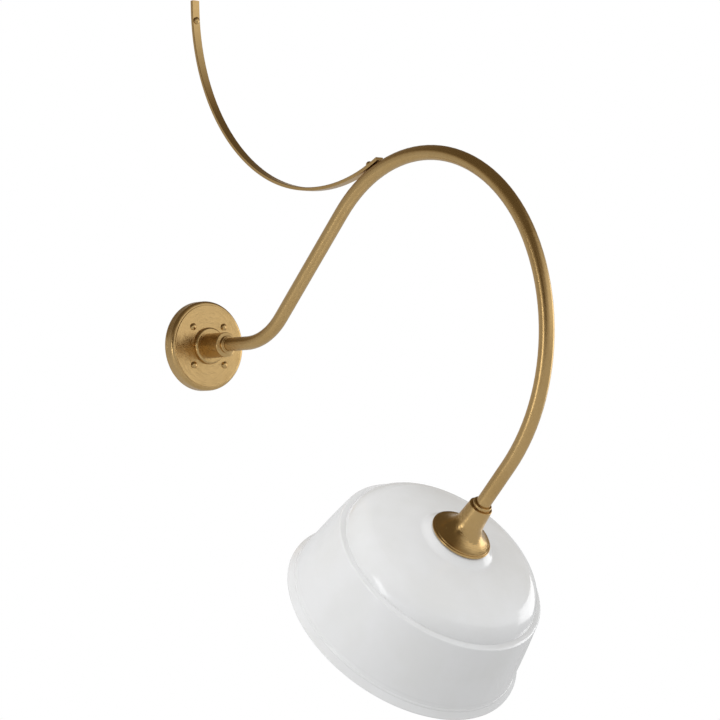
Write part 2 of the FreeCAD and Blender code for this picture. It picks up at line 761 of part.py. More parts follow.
# ---- Lamp head -------------------------------------------------------------------
def shade():
    skirt_low_r = hem_top_r - bead_in - 1.0
    skirt_low = hem_top + bead_rise + fold_rise
    hem = outline([(rim_r, 0), (rim_r, rim_height, 0.6), (hem_top_r, hem_top)], closed=False)
    bead = Part.Arc(at(hem_top_r, hem_top), at(hem_top_r - 0.15, hem_top + bead_rise / 2),
                    at(hem_top_r - bead_in, hem_top + bead_rise)).toShape()
    fold = Part.Arc(at(hem_top_r - bead_in, hem_top + bead_rise),
                    at(hem_top_r - bead_in - 0.75, skirt_low - fold_rise / 2),
                    at(skirt_low_r, skirt_low)).toShape()
    skirt_middle = at((skirt_low_r + skirt_top_r) / 2 + skirt_bow, (skirt_low + skirt_top) / 2)
    skirt = Part.Arc(at(skirt_low_r, skirt_low), skirt_middle, at(skirt_top_r, skirt_top)).toShape()

    slope = math.radians(ledge_slope)
    dome_start = at(dome_side_centre_r + dome_side_r * math.cos(slope),
                    dome_centre_height + dome_side_r * math.sin(slope))
    ledge = outline([(skirt_top_r, skirt_top),
                     (skirt_top_r - 0.6, skirt_top + 3.2, shoulder_round),
                     (dome_start.x + 0.1, dome_start.z - 0.7, 0.6),
                     (dome_start.x, dome_start.z)], closed=False)
    crown_slope = math.atan2(dome_centre_height - crown_centre, dome_side_centre_r)
    middle_slope = (slope + crown_slope) / 2
    dome_end = at(dome_side_centre_r + dome_side_r * math.cos(crown_slope),
                  dome_centre_height + dome_side_r * math.sin(crown_slope))
    dome = Part.Arc(dome_start,
                    at(dome_side_centre_r + dome_side_r * math.cos(middle_slope),
                       dome_centre_height + dome_side_r * math.sin(middle_slope)),
                    dome_end).toShape()
    crown_middle_r = (dome_end.x + crown_end_r) / 2
    crown = Part.Arc(dome_end,
                     at(crown_middle_r, crown_centre + math.sqrt(crown_r ** 2 - crown_middle_r ** 2)),
                     at(crown_end_r, crown_end_height)).toShape()
    fall = crown_end_r / math.sqrt(crown_r ** 2 - crown_end_r ** 2)
    foot_r = crown_end_r - boss_foot_width
    boss = outline([(crown_end_r, crown_end_height),
                    (foot_r, crown_end_height + fall * boss_foot_width, boss_foot_round),
                    (boss_flat_r, shade_top, boss_top_round),
                    (holder_r + 0.5, shade_top)], closed=False)
    body = spun(hem + [bead, fold, skirt] + ledge + [dome, crown] + boss, shade_wall)
    save("shade", [on_lamp_axis(body)])


def shade_ring():
    body = turned([
        (holder_r + ring_fit, ring_low), (ring_sleeve_r, ring_low, 0.8),
        (ring_sleeve_r, ring_high - ring_flange_height), (ring_r, ring_high - ring_flange_height, 0.5),
        (ring_r, ring_high, 0.5), (holder_r + ring_fit, ring_high)])
    rib = rod(ring_rib_r, ring_low + 0.8, ring_high - ring_flange_height)
    rib.translate(at(ring_sleeve_r, 0))
    body = body.multiFuse(on_circle(rib, ring_rib_count, 0, Z)).removeSplitter()
    save("shade_ring", [on_lamp_axis(body)])


def bell_holder():
    flare_low = bell_lip + bell_flare_rise
    corner = bell_lip + bell_corner_height
    skin = outline([
        (bell_lip_r - bell_wall, bell_lip), (bell_lip_r, bell_lip, 0.9),
        (bell_lip_r, bell_lip + bell_lip_height, 1.2),
        (bell_flare_edge_r, bell_lip + bell_lip_height, 0.3), (bell_flare_edge_r, flare_low, 0.4),
        (bell_corner_r, corner, bell_flare_round), (bell_top_r, bell_top, 1.2), (0, bell_top)],
        closed=False)
    taper = (bell_corner_r - bell_top_r) / (bell_top - corner)
    inner_corner_r = bell_corner_r - bell_wall + 0.15
    inner_corner = corner - bell_wall + 0.3
    web_r = bell_corner_r - bell_wall - taper * (bell_web_low - corner)
    cavity = outline([
        (0, bell_web_low), (web_r, bell_web_low), (inner_corner_r, inner_corner, bell_flare_round + bell_wall),
        (bell_flare_edge_r - 1.6, flare_low - bell_wall + 0.3), (bell_lip_r - bell_wall, bell_lip)],
        closed=False)
    axis_line = Part.makeLine(at(0, bell_top), at(0, bell_web_low))
    body = Part.Face(Part.Wire(skin + [axis_line] + cavity)).revolve(ORIGIN, Z, FULL_TURN)
    body = body.cut(rod(nipple_r + thread_fit, bell_web_low, bell_web_high))
    body = body.cut(rod(tube_r + slip, bell_web_high, bell_top))
    save("bell_holder", [on_lamp_axis(body)])

    neck = ring(neck_ring_r, tube_r + slip, bell_top, bell_top + neck_ring_height, 0.8, 1.4)
    save("neck_ring", [on_lamp_axis(neck)])


def nipple():
    save("nipple", [on_lamp_axis(ring(nipple_r, nipple_bore_r, nipple_low, nipple_high))])
    nut = hexagon(nipple_nut_flats, cap_high, bell_web_low)
    save("nipple_nut", [on_lamp_axis(nut.cut(rod(nipple_r + thread_fit, cap_high, bell_web_low)))])


def lampholder():
    floor_hole_r = contact_rivet_r + slip
    top_bore_r = holder_top_r - 3.0
    body = turned([
        (floor_hole_r, floor_low), (holder_bore_r, floor_low), (holder_bore_r, holder_low),
        (holder_r, holder_low, 0.8), (holder_r, flange_low), (holder_flange_r, flange_low, 0.4),
        (holder_flange_r, flange_high, 0.6), (holder_top_r, flange_high),
        (holder_top_r, holder_high, 0.5), (top_bore_r, holder_high), (top_bore_r, floor_high),
        (floor_hole_r, floor_high)])
    save("lampholder_body", [on_lamp_axis(body)])

    side_high = flange_high + cap_side_height
    bore = nipple_r + thread_fit
    cap_inner_r = holder_top_r + slip
    cap = turned([
        (cap_inner_r, flange_high), (cap_inner_r + cap_wall, flange_high),
        (cap_inner_r + cap_wall, side_high, 3.0), (cap_top_r, cap_high, 1.5), (bore, cap_high),
        (bore, cap_high - cap_neck_height), (cap_top_r - cap_wall, cap_high - cap_neck_height),
        (cap_inner_r, side_high - cap_wall)])
    save("lampholder_cap", [on_lamp_axis(cap)])

    shell_r = cap_shell_r + turning_gap
    shell_high = floor_low
    shell = ring(shell_r + shell_wall, shell_r, shell_high - shell_length, shell_high)
    save("screw_shell", [on_lamp_axis(shell)])

    contact = rod(contact_r, contact_low, floor_low)
    contact = contact.fuse(rod(contact_rivet_r, floor_low, floor_high + contact_thickness))
    save("centre_contact", [on_lamp_axis(contact)])

    plates = []
    screws = []
    screw_height = floor_high + terminal_height * 0.6
    for side in (1, -1):
        inner = terminal_x if side > 0 else -terminal_x - terminal_thickness
        plate = Part.makeBox(terminal_thickness, terminal_width, terminal_height,
                             FreeCAD.Vector(inner, -terminal_width / 2, floor_high))
        hole = Part.makeCylinder(terminal_screw_r + thread_fit, 3 * terminal_thickness,
                                 at(side * (terminal_x - terminal_thickness), screw_height), X * side)
        plates.append(on_lamp_axis(plate.cut(hole)))
        screw = domed_head(terminal_head_r, terminal_head_height, 0)
        screw = screw.fuse(rod(terminal_screw_r, -terminal_screw_length + terminal_head_height, 0))
        screws.append(on_lamp_axis(stand(screw, at(side * terminal_x, screw_height), -X * side)))
    save("terminal_plates", plates)
    save("terminal_screws", screws)


# ---- Lamp ------------------------------------------------------------------------
def lamp():
    tip_low = lamp_top - lamp_tip_height
    tip = turned([(0, tip_low), (lamp_tip_r, tip_low), (lamp_tip_r, tip_low + 0.8),
                  (2.6, lamp_top, 0.6), (0, lamp_top)])
    save("bulb_tip", [on_lamp_axis(tip)])

    base_low = lamp_top - lamp_cap_length - 1.4
    base_high = tip_low + 0.8
    cone_low = base_high - lamp_cap_cone
    rim_gap_r = lamp_tip_r + turning_gap
    edges = outline([(cap_shell_r, base_low), (cap_shell_r, cone_low, 1.0),
                     (rim_gap_r + 4.0, base_high, 0.8), (rim_gap_r, base_high)], closed=False)
    save("bulb_base", [on_lamp_axis(spun(edges, lamp_cap_wall))])

    bottom = lamp_top - lamp_length
    centre = bottom + lamp_r
    lift = math.radians(lamp_shoulder_angle)
    edge_r = lamp_r * math.cos(lift)
    edge_height = centre + lamp_r * math.sin(lift)
    side = math.radians(lamp_shoulder_angle - 90) / 2
    ball = Part.Arc(at(0, bottom), at(lamp_r * math.cos(side), centre + lamp_r * math.sin(side)),
                    at(edge_r, edge_height)).toShape()
    corner_height = edge_height + (edge_r - lamp_neck_r) / math.tan(lift)
    neck = outline([(edge_r, edge_height), (lamp_neck_r, corner_height, lamp_shoulder_round),
                    (lamp_neck_r, base_low + lamp_neck_insert)], closed=False)
    save("bulb_glass", [on_lamp_axis(spun([ball] + neck, lamp_glass))])


os.makedirs("parts", exist_ok=True)
backplate()
backplate_gasket()
mounting_bracket()
bracket_posts()
backplate_screws()
wire_connectors()
ground_screw()
ground_lug()
wiring()
hub()
arm_tube()
arm_end_bush()
strap()
strap_wall_screw()
strap_arm_screw()
shade()
shade_ring()
bell_holder()
nipple()
lampholder()
lamp()
print("tube end", tube_end, "lamp axis", lamp_axis, "strap top", strap_top_z)
print("shade top", shade_top, "lamp top", lamp_top, "bell", bell_lip, bell_top)
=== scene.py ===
"""Looks for a brass gooseneck wall sconce with a white enamelled shade."""

import math

import bpy
from bpy.props import FloatProperty, FloatVectorProperty, IntProperty, PointerProperty
from mathutils import Matrix, Vector


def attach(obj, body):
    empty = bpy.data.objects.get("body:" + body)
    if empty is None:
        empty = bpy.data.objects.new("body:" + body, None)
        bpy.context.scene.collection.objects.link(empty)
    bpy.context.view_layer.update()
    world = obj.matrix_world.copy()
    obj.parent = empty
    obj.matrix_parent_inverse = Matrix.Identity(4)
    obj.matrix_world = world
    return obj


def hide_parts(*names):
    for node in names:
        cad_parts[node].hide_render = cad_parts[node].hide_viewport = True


bl_info = {
    "name": "Gooseneck Wall Sconce",
    "version": (1, 0, 0),
    "blender": (4, 5, 0),
    "location": "3D Viewport > Sidebar > Sconce",
    "description": "Finishes, threads and studio for a brass gooseneck wall sconce",
    "category": "Object",
}

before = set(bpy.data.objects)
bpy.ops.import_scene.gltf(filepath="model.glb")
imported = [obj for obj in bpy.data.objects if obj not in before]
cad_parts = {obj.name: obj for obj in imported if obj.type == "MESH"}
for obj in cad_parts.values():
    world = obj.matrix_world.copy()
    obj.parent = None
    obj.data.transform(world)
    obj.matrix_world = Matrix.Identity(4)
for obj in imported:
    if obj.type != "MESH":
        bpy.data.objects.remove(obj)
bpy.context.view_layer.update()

# Directions in the wall light's own frame: the wall is the plane Y = 0 and +Z is up.
SIDEWAYS = Vector((1, 0, 0))
OFF_WALL = Vector((0, -1, 0))
LAMP_UP = Vector((0, -math.sqrt(0.5), math.sqrt(0.5)))  # from the shade's mouth to its crown
RIM_CENTRE = Vector((0, -0.413949, -0.366408))  # heights in the lamp head start here

# Heights in the lamp head, in metres, measured up from the rim's centre. They repeat the CAD's.
HOLDER_LOW, HOLDER_HIGH = 0.121961, 0.167761
FLANGE_LOW, FLANGE_HIGH = 0.153461, 0.155961
FLOOR_LOW, FLOOR_HIGH = 0.152961, 0.156961
SHELL_LOW = 0.124961
CAP_LOW, CAP_HIGH = 0.125961, 0.150561

# Threaded stretch of the lamp's cap, which is plain in the CAD.
THREAD_LOW, THREAD_HIGH = 0.1294, 0.1455

# Radii and walls in the lamp head.
HOLDER_RADIUS, HOLDER_BORE = 0.019, 0.014
HOLDER_NECK = 0.0184  # plain stretch above the ring's thread
FLANGE_RADIUS = 0.026
HOLDER_TOP_RADIUS, HOLDER_TOP_BORE = 0.0171, 0.0141
RIVET_HOLE = 0.0016
SHELL_RADIUS, SHELL_WALL = 0.0134, 0.0005
CAP_RADIUS, CAP_WALL = 0.0131, 0.0004
CAP_RIM = 0.0049  # radius of the hole round the lamp's tip
LAMP_RUN_OUT = 0.0016  # height over which the lamp's thread reaches its depth
RING_RUN_OUT = 0.001

# Twist-on connectors: length, radii of the skirt and bore, depth of the bore, and flutes.
CONNECTOR_LENGTH = 0.0200
CONNECTOR_RADIUS, CONNECTOR_BORE = 0.0052, 0.0012
CONNECTOR_SKIRT, CONNECTOR_DEPTH = 0.003, 0.0096
CONNECTOR_TAPER = 0.002  # loss of radius from the skirt to the closed end
CONNECTOR_FLUTES, FLUTE_DEPTH, FLUTE_END_DEPTH = 16, 0.0005, 0.0002
CONNECTOR_STEPS = 128
AXIS_RADIUS = 0.00001  # a turned mesh ends this close to its axis

# Toothed lock washer behind the plate.
WASHER_LOW, WASHER_HIGH = 0.0145, 0.0155
WASHER_BORE, TOOTH_ROOT, TOOTH_TIP = 0.0111, 0.0138, 0.0160
TOOTH_DEPTH = 0.0022
WASHER_TEETH = 18
WASHER_STEPS = 288

# Mouth and direction of each twist-on connector.
CONNECTORS = (((0.0205, -0.0082, 0.0), (1, 0, 0)), ((-0.0205, -0.0082, 0.0), (-1, 0, 0)),
              ((-0.002318, -0.007708, -0.024), (-1, 0, 0)))


# ---- Settings --------------------------------------------------------------------
def colour_setting(name, description, default):
    return FloatVectorProperty(name=name, description=description, default=default,
                               subtype="COLOR", min=0, max=1)


def length_setting(name, description, default):
    return FloatProperty(name=name, description=description, default=default,
                         unit="LENGTH", subtype="DISTANCE", precision=4)


def share_setting(name, description, default, highest=1.0):
    return FloatProperty(name=name, description=description, default=default,
                         subtype="FACTOR", min=0, max=highest)


class SconceFinishSettings(bpy.types.PropertyGroup):
    brass: colour_setting("Satin brass", "Colour of the plate, arm, stay and bell", (0.60, 0.405, 0.175))
    brass_shade: colour_setting("Deep brass", "Colour in the brass's darker patches", (0.50, 0.315, 0.115))
    brass_roughness: share_setting("Brass roughness", "Dullness of the satin brass", 0.24)
    brush_depth: share_setting("Brush depth", "How steeply the brush lines tip the surface", 0.5)
    brush_spacing: length_setting("Brush spacing", "Distance from one brush line to the next", 0.00022)
    enamel: colour_setting("Enamel", "Colour of the shade", (0.84, 0.845, 0.85))
    enamel_roughness: share_setting("Enamel roughness", "Dullness of the enamel", 0.16)
    steel: colour_setting("Zinc plate", "Colour of the plated steel", (0.58, 0.60, 0.62))
    contact: colour_setting("Contact brass", "Colour of the bare brass contacts", (0.62, 0.44, 0.17))
    aluminium: colour_setting("Aluminium", "Colour of the lamp's cap", (0.74, 0.745, 0.75))
    porcelain: colour_setting("Porcelain", "Colour of the glazed lampholder", (0.79, 0.77, 0.70))
    phenolic: colour_setting("Phenolic", "Colour of the moulded cap and ring", (0.022, 0.019, 0.017))
    opal: colour_setting("Opal glass", "Colour of the lamp's glass", (0.88, 0.88, 0.86))
    foam: colour_setting("Foam", "Colour of the wall gasket", (0.018, 0.018, 0.019))
    live_cover: colour_setting("Live wire", "Colour of the live wire's cover", (0.016, 0.016, 0.017))
    neutral_cover: colour_setting("Neutral wire", "Colour of the neutral wire's cover", (0.80, 0.80, 0.77))
    ground_cover: colour_setting("Ground wire", "Colour of the ground wire's cover", (0.02, 0.20, 0.05))
    connector: colour_setting("Connector", "Colour of the twist-on connectors", (0.80, 0.17, 0.02))


class SconceThreadSettings(bpy.types.PropertyGroup):
    lamp_pitch: length_setting("Lamp thread pitch", "Rise of the lamp's screw cap in one turn", 0.003629)
    lamp_depth: length_setting("Lamp thread depth", "Depth of the lamp's rolled thread", 0.0008)
    ring_pitch: length_setting("Ring thread pitch", "Rise of the shade ring in one turn", 0.002)
    ring_depth: length_setting("Ring thread depth", "Depth of the thread on the lampholder", 0.0006)
    turn_steps: IntProperty(name="Steps in a turn", description="Mesh steps round one turn of a thread",
                            default=96, min=24, max=360)


class SconceStageSettings(bpy.types.PropertyGroup):
    floor_height: length_setting("Floor height", "Height of the floor under the wall light", -0.70)
    floor_width: length_setting("Floor width", "Width of the floor", 24.0)
    shadow_reach: length_setting("Shadow reach", "Distance over which the floor fades to white", 1.0)
    backdrop: colour_setting("Backdrop", "Colour of the studio's background", (1, 1, 1))
    daylight: FloatProperty(name="Room light", description="Strength of the even light in the room",
                            default=0.84, min=0)
    focal_length: FloatProperty(name="Focal length", description="Camera lens in millimetres",
                                default=108.73, unit="CAMERA", min=1)


# ---- Node trees ------------------------------------------------------------------
class Signal:
    """One output socket of a node. Arithmetic on it adds Math nodes."""

    def __init__(self, tree, socket):
        self.tree = tree
        self.socket = socket

    def math(self, operation, *terms):
        return self.tree.node("ShaderNodeMath", {"operation": operation}, dict(enumerate(terms)))

    def __add__(self, other):
        return self.math("ADD", self, other)

    def __radd__(self, other):
        return self.math("ADD", other, self)

    def __sub__(self, other):
        return self.math("SUBTRACT", self, other)

    def __rsub__(self, other):
        return self.math("SUBTRACT", other, self)

    def __mul__(self, other):
        return self.math("MULTIPLY", self, other)

    def __rmul__(self, other):
        return self.math("MULTIPLY", other, self)

    def other(self, output):
        """Another output of the same node."""
        return Signal(self.tree, self.socket.node.outputs[output])


class NodeTree:
    """Builds a shader's nodes by type, settings and socket values."""

    def __init__(self, tree):
        self.tree = tree
        self.tree.nodes.clear()

    def node(self, kind, settings=None, sockets=None, output=0):
        made = self.tree.nodes.new(kind)
        for name, value in (settings or {}).items():
            setattr(made, name, value)
        for name, value in (sockets or {}).items():
            if isinstance(value, Signal):
                self.tree.links.new(value.socket, made.inputs[name])
            else:
                made.inputs[name].default_value = value
        return Signal(self, made.outputs[output]) if made.outputs else made

    def vector(self, operation, *terms):
        return self.node("ShaderNodeVectorMath", {"operation": operation}, dict(enumerate(terms)))

    def scaled(self, vector, amount):
        return self.node("ShaderNodeVectorMath", {"operation": "SCALE"}, {0: vector, "Scale": amount})

    def dot(self, one, two):
        return self.node("ShaderNodeVectorMath", {"operation": "DOT_PRODUCT"}, {0: one, 1: two}, "Value")

    def length(self, vector):
        return self.node("ShaderNodeVectorMath", {"operation": "LENGTH"}, {0: vector}, "Value")

    def mixed(self, share, one, two):
        return self.node("ShaderNodeMix", {"data_type": "RGBA"}, {0: share, 6: one, 7: two}, 2)

    def fade(self, value, start, end, low=0.0, high=1.0):
        return self.node("ShaderNodeMapRange", {"interpolation_type": "SMOOTHSTEP"},
                         {"Value": value, "From Min": start, "From Max": end, "To Min": low, "To Max": high})

    def noise(self, place, spacing, detail=2.0, roughness=0.5):
        return self.node("ShaderNodeTexNoise", {"noise_dimensions": "3D"},
                         {"Vector": place, "Scale": 1 / spacing, "Detail": detail, "Roughness": roughness})


class Finish(NodeTree):
    """A material with one surface shader. Places are in metres in the wall light's frame."""

    def __init__(self, name, **constants):
        self.material = bpy.data.materials.new(name)
        self.material.use_nodes = True
        super().__init__(self.material.node_tree)
        shader = self.tree.nodes.new("ShaderNodeBsdfPrincipled")
        for socket, value in constants.items():
            shader.inputs[socket.replace("_", " ")].default_value = value
        self.shader = shader
        self.node("ShaderNodeOutputMaterial", None, {"Surface": Signal(self, shader.outputs[0])})
        self.place = self.node("ShaderNodeTexCoord", output="Object")

    def feed(self, socket, signal):
        self.tree.links.new(signal.socket, self.shader.inputs[socket])

    def bump(self, height, distance, strength=1.0, under=None):
        sockets = {"Height": height, "Distance": distance, "Strength": strength}
        if under is not None:
            sockets["Normal"] = under
        return self.node("ShaderNodeBump", None, sockets)

    def round_axis(self, centre, axis):
        """Radius, height and the two directions of a piece that is turned about an axis."""
        offset = self.vector("SUBTRACT", self.place, centre)
        height = self.dot(offset, axis)
        outward = self.vector("SUBTRACT", offset, self.scaled(axis, height))
        radius = self.length(outward)
        outward = self.vector("NORMALIZE", outward)
        return radius, height, outward, self.vector("CROSS_PRODUCT", axis, outward)

    def tipped(self, across, amount):
        """The surface's normal, tipped along a direction as the sides of fine lines are."""
        facing = self.place.other("Normal")
        along = self.scaled(across, amount)
        tipped = self.vector("NORMALIZE", self.vector("ADD", facing, along))
        return self.node("ShaderNodeVectorTransform",
                         {"vector_type": "NORMAL", "convert_from": "OBJECT", "convert_to": "WORLD"},
                         {"Vector": tipped})


def dress(material, *nodes):
    """Gives a material to nodes of the frame."""
    for name in nodes:
        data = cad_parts[name].data
        for index in range(max(1, len(data.materials))):
            if data.materials:
                data.materials[index] = material
            else:
                data.materials.append(material)


# ---- Turned pieces ---------------------------------------------------------------
def spaced(low, high, step):
    """Evenly spaced heights from low to high, both included."""
    count = max(1, round((high - low) / step))
    return [low + (high - low) * i / count for i in range(count + 1)]


def helix(pitch):
    """Groove of a right-hand thread: 0 on its crest and 1 at its root."""
    return lambda angle, height: 0.5 - 0.5 * math.cos(2 * math.pi * height / pitch - angle)


def flutes(count, steepness=1.0):
    """Grooves that run along the axis, evenly spaced round it."""
    def groove(angle, height):
        return min(1.0, max(0.0, 0.5 - 0.5 * steepness * math.cos(count * angle)))
    return groove


def turn(name, rows, origin, axis, groove, steps, material):
    """Mesh turned about an axis from a closed run of (radius, height, groove depth).

    Its faces point outwards where the run goes up on the outside and down on the inside.
    """
    axis = Vector(axis)
    across = SIDEWAYS if abs(axis.dot(SIDEWAYS)) < 0.5 else Vector((0, 0, 1))
    beside = axis.cross(across)
    points, faces = [], []
    for radius, height, depth in rows:
        for step in range(steps):
            angle = 2 * math.pi * step / steps
            out = radius - depth * groove(angle, height)
            points.append(Vector(origin) + axis * height
                          + (across * math.cos(angle) + beside * math.sin(angle)) * out)
    for row in range(len(rows)):
        here, there = row * steps, (row + 1) % len(rows) * steps
        for step in range(steps):
            beyond = (step + 1) % steps
            faces.append((here + step, here + beyond, there + beyond, there + step))
    mesh = bpy.data.meshes.new(name)
    mesh.from_pydata(points, [], faces)
    mesh.shade_smooth()
    mesh.set_sharp_from_angle(angle=math.radians(40))
    mesh.materials.append(material)
    piece = bpy.data.objects.new(name, mesh)
    bpy.context.collection.objects.link(piece)
    return piece


def stand_for(piece, node, body):
    """A detailed piece takes a frame node's place and body: the node is hidden and the piece joins the body.
    """
    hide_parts(node)
    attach(piece, body)


def threaded_rows(radius, low, high, pitch, depth, run_out):
    """Rows up a threaded stretch whose groove deepens over its first run_out."""
    rows = []
    for height in spaced(low, high, pitch / 10):
        rows.append((radius, height, depth * min(1.0, (height - low) / run_out)))
    return rows


def lamp_cap(material):
    """The lamp's cap, rolled from thin sheet with its thread."""
    threads = bpy.context.scene.sconce_threads
    thread = threaded_rows(CAP_RADIUS, THREAD_LOW, THREAD_HIGH, threads.lamp_pitch,
                           threads.lamp_depth, LAMP_RUN_OUT)
    root = CAP_RADIUS - threads.lamp_depth
    outside = [(CAP_RADIUS, CAP_LOW, 0), *thread[:-3], (root, THREAD_HIGH + 0.0004, 0),
               (root, CAP_HIGH - 0.0033, 0), (0.0117, CAP_HIGH - 0.0025, 0), (0.0092, CAP_HIGH - 0.0004, 0),
               (0.0086, CAP_HIGH, 0), (CAP_RIM, CAP_HIGH, 0)]
    inside = [(radius - CAP_WALL, height - (CAP_WALL if height > THREAD_HIGH else 0), depth)
              for radius, height, depth in reversed(outside[:-1])]
    rows = outside + [(CAP_RIM, CAP_HIGH - CAP_WALL, 0)] + inside
    piece = turn("lamp_screw_cap", rows, RIM_CENTRE, LAMP_UP, helix(threads.lamp_pitch),
                 threads.turn_steps, material)
    stand_for(piece, "bulb_base", "lamp")


def threaded_shell(material):
    """The lampholder's rolled shell. Its run goes up the bore first, so its faces point inwards."""
    threads = bpy.context.scene.sconce_threads
    thread = threaded_rows(SHELL_RADIUS, THREAD_LOW, FLOOR_LOW, threads.lamp_pitch,
                           threads.lamp_depth, LAMP_RUN_OUT)
    bore = [(SHELL_RADIUS, SHELL_LOW, 0), *thread]
    back = [(radius + SHELL_WALL, height, depth) for radius, height, depth in reversed(bore)]
    piece = turn("rolled_screw_shell", bore + back, RIM_CENTRE, LAMP_UP, helix(threads.lamp_pitch),
                 threads.turn_steps, material)
    stand_for(piece, "screw_shell", "fixture")


def threaded_holder(material):
    """The porcelain holder with the thread of the shade ring round its lower part."""
    threads = bpy.context.scene.sconce_threads
    thread = threaded_rows(HOLDER_RADIUS, HOLDER_LOW + 0.0012, FLANGE_LOW - 0.0016, threads.ring_pitch,
                           threads.ring_depth, RING_RUN_OUT)
    mouth = [(RIVET_HOLE, FLOOR_LOW, 0), (HOLDER_BORE, FLOOR_LOW, 0), (HOLDER_BORE, HOLDER_LOW + 0.0003, 0),
             (HOLDER_BORE + 0.0004, HOLDER_LOW, 0), (0.0181, HOLDER_LOW, 0), (0.0187, HOLDER_LOW + 0.0003, 0)]
    neck = [(HOLDER_NECK, FLANGE_LOW - 0.001, 0), (HOLDER_NECK, FLANGE_LOW, 0)]
    flange = [(0.0256, FLANGE_LOW, 0), (FLANGE_RADIUS, FLANGE_LOW + 0.0004, 0),
              (FLANGE_RADIUS, FLANGE_HIGH - 0.0007, 0), (0.0258, FLANGE_HIGH - 0.0002, 0),
              (0.0253, FLANGE_HIGH, 0)]
    top = [(HOLDER_TOP_RADIUS, FLANGE_HIGH, 0), (HOLDER_TOP_RADIUS, HOLDER_HIGH - 0.0005, 0),
           (0.0166, HOLDER_HIGH, 0), (HOLDER_TOP_BORE, HOLDER_HIGH, 0), (HOLDER_TOP_BORE, FLOOR_HIGH, 0),
           (RIVET_HOLE, FLOOR_HIGH, 0)]
    rows = mouth + thread + neck + flange + top
    piece = turn("porcelain_holder", rows, RIM_CENTRE, LAMP_UP, helix(threads.ring_pitch),
                 threads.turn_steps, material)
    stand_for(piece, "lampholder_body", "fixture")


def fluted_connector(number, mouth, heading, material):
    """A twist-on connector with a skirt at its mouth and flutes along its taper."""
    taper_length = CONNECTOR_LENGTH - CONNECTOR_SKIRT
    rows = [(0.0011, CONNECTOR_DEPTH, 0), (CONNECTOR_BORE, CONNECTOR_SKIRT, 0), (0.0040, 0, 0),
            (0.0048, 0, 0), (CONNECTOR_RADIUS, 0.0004, 0), (CONNECTOR_RADIUS, 0.0026, 0), (0.0050, 0.0032, 0)]
    for height in spaced(0.0042, 0.0178, 0.0008):
        radius = CONNECTOR_RADIUS - CONNECTOR_TAPER * (height - CONNECTOR_SKIRT) / taper_length
        rows.append((radius, height, FLUTE_DEPTH if height < 0.017 else FLUTE_END_DEPTH))
    rows += [(0.0030, 0.0188, 0), (0.0024, 0.0196, 0), (0.0014, CONNECTOR_LENGTH, 0),
             (AXIS_RADIUS, CONNECTOR_LENGTH, 0), (AXIS_RADIUS, CONNECTOR_DEPTH, 0)]
    piece = turn(f"fluted_connector_{number}", rows, mouth, heading, flutes(CONNECTOR_FLUTES, 1.6),
                 CONNECTOR_STEPS, material)
    stand_for(piece, "wire_connectors", "fixture")


def toothed_washer(material):
    """The hub's lock washer with teeth round its outside."""
    rows = [(WASHER_BORE, WASHER_LOW, 0), (TOOTH_ROOT, WASHER_LOW, 0),
            (TOOTH_TIP, WASHER_LOW, TOOTH_DEPTH), (TOOTH_TIP, WASHER_HIGH, TOOTH_DEPTH),
            (TOOTH_ROOT, WASHER_HIGH, 0), (WASHER_BORE, WASHER_HIGH, 0)]
    piece = turn("toothed_lockwasher", rows, (0, 0, 0), OFF_WALL, flutes(WASHER_TEETH, 3.0), WASHER_STEPS,
                 material)
    stand_for(piece, "hub_lockwasher", "fixture")


# ---- Brass -----------------------------------------------------------------------
def brass_body(name):
    """Satin brass before its brush lines: colour patches, handling marks and dullness."""
    look = bpy.context.scene.sconce_finish
    finish = Finish(name, Metallic=1.0, Specular_IOR_Level=0.5)
    patches = finish.noise(finish.place, spacing=0.045, detail=3.0)
    specks = finish.noise(finish.place, spacing=0.004, detail=4.0, roughness=0.6)
    deep = finish.fade(patches * 0.6 + specks * 0.4, 0.42, 0.66, 0.0, 0.35)
    finish.feed("Base Color", finish.mixed(deep, (*look.brass, 1), (*look.brass_shade, 1)))
    finish.feed("Roughness", look.brass_roughness + (specks - 0.5) * 0.10 + (patches - 0.5) * 0.06)
    return finish


def turned_brass(name, centre, axis):
    """Brass brushed round an axis, as it leaves the lathe."""
    look = bpy.context.scene.sconce_finish
    finish = brass_body(name)
    radius, height, outward, around = finish.round_axis(centre, axis)
    facing = finish.place.other("Normal")
    across = finish.vector("CROSS_PRODUCT", around, facing)
    line = finish.scaled(axis, (radius + 0.83 * height) * (1 / look.brush_spacing))
    lines = finish.noise(finish.vector("ADD", line, finish.scaled(outward, 3.0)), 1.0, 2.0, 0.7)
    finish.feed("Normal", finish.tipped(across, (lines - 0.5) * (2 * look.brush_depth)))
    return finish.material


def cross_brushed_brass(name):
    """Brass tube brushed round its section, so light spreads along its length."""
    look = bpy.context.scene.sconce_finish
    finish = brass_body(name)
    facing = finish.place.other("Normal")
    along = finish.vector("NORMALIZE", finish.vector("CROSS_PRODUCT", SIDEWAYS, facing))
    squeezed = finish.vector("MULTIPLY", finish.place, (0.2, 1, 1))
    lines = finish.noise(squeezed, look.brush_spacing, 2.0, 0.7)
    finish.feed("Normal", finish.tipped(along, (lines - 0.5) * (2 * look.brush_depth)))
    return finish.material


def drawn_brass(name):
    """Flat brass bar with its draw lines along its length."""
    look = bpy.context.scene.sconce_finish
    finish = brass_body(name)
    facing = finish.place.other("Normal")
    sideways = finish.vector("SUBTRACT", SIDEWAYS, finish.scaled(facing, finish.dot(facing, SIDEWAYS)))
    squeezed = finish.vector("MULTIPLY", finish.place, (1, 0.08, 0.08))
    lines = finish.noise(squeezed, look.brush_spacing, 2.0, 0.7)
    finish.feed("Normal", finish.tipped(sideways, (lines - 0.5) * (1.6 * look.brush_depth)))
    return finish.material


